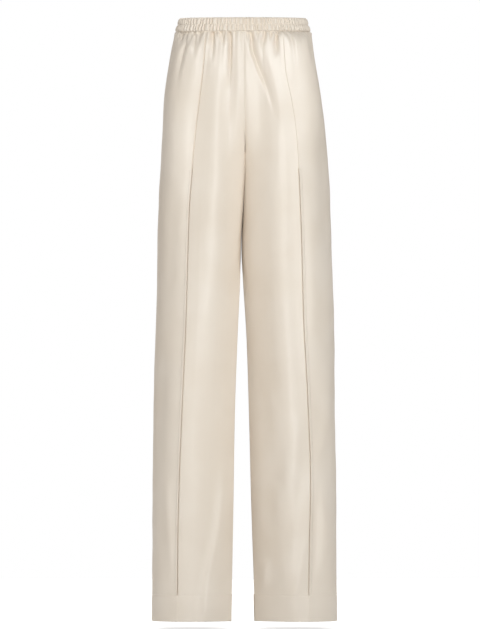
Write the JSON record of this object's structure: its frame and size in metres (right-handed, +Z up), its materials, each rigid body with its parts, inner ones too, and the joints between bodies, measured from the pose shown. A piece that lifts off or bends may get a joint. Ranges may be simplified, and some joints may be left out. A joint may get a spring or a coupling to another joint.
{
  "type": "relaxed pants",
  "caption": "Long wide-leg pull-on pants in cream satin, with a gathered elastic waist, stitched front tucks and deep hems.",
  "frame": {"origin": "middle of the waist opening, half way up the waistband, where the wearer's waist holds the garment", "axes": "+Z up towards the waist, +X towards the wearer's left, the front faces -Y"},
  "size_m": [0.3435, 0.2362, 1.131],
  "materials": {
    "satin": "soft satin, cream"
  },
  "bodies": {
    "root": {"waistband": "satin", "front_right": "satin", "front_left": "satin", "back_right": "satin", "back_left": "satin", "tuck_right": "satin", "tuck_left": "satin", "hem_right": "satin", "hem_left": "satin"}
  },
  "joints": []
}
